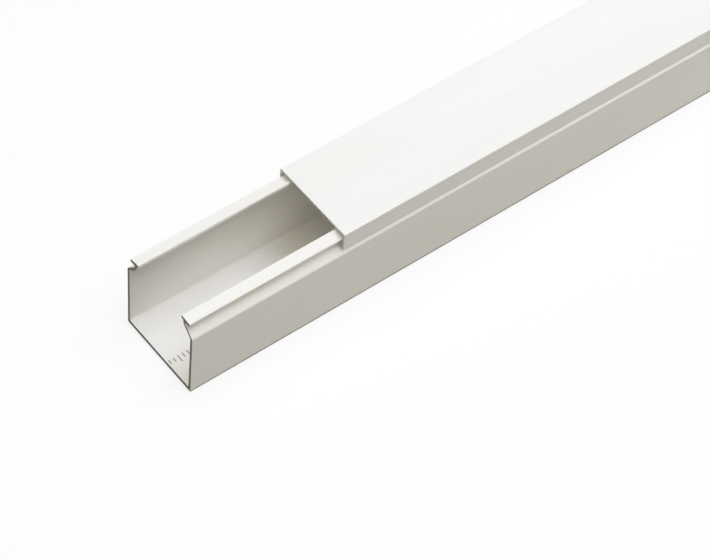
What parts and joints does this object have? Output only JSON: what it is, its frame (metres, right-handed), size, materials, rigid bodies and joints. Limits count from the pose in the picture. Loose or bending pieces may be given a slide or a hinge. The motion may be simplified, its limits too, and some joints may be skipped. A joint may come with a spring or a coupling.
{
  "type": "cable trunking",
  "caption": "Straight plastic cable trunking: a U-shaped channel with hooked lips and a flat clip-on lid that slides along it.",
  "frame": {"origin": "middle of the channel's back face, halfway along its length", "axes": "+X along the length, with the channel's open end at -X; +Z from the back face towards the lid"},
  "size_m": [1.068, 0.04, 0.042],
  "materials": {
    "channel_plastic": "extruded white rigid PVC, satin",
    "lid_plastic": "extruded white rigid PVC, satin"
  },
  "bodies": {
    "channel": {"base_channel": "channel_plastic"},
    "lid": {"clip_lid": "lid_plastic"}
  },
  "joints": [
    {"name": "lid_slide", "type": "slide", "parent": "channel", "child": "lid", "axis": [1, 0, 0], "range_m": [-0.068, 0.9]}
  ]
}
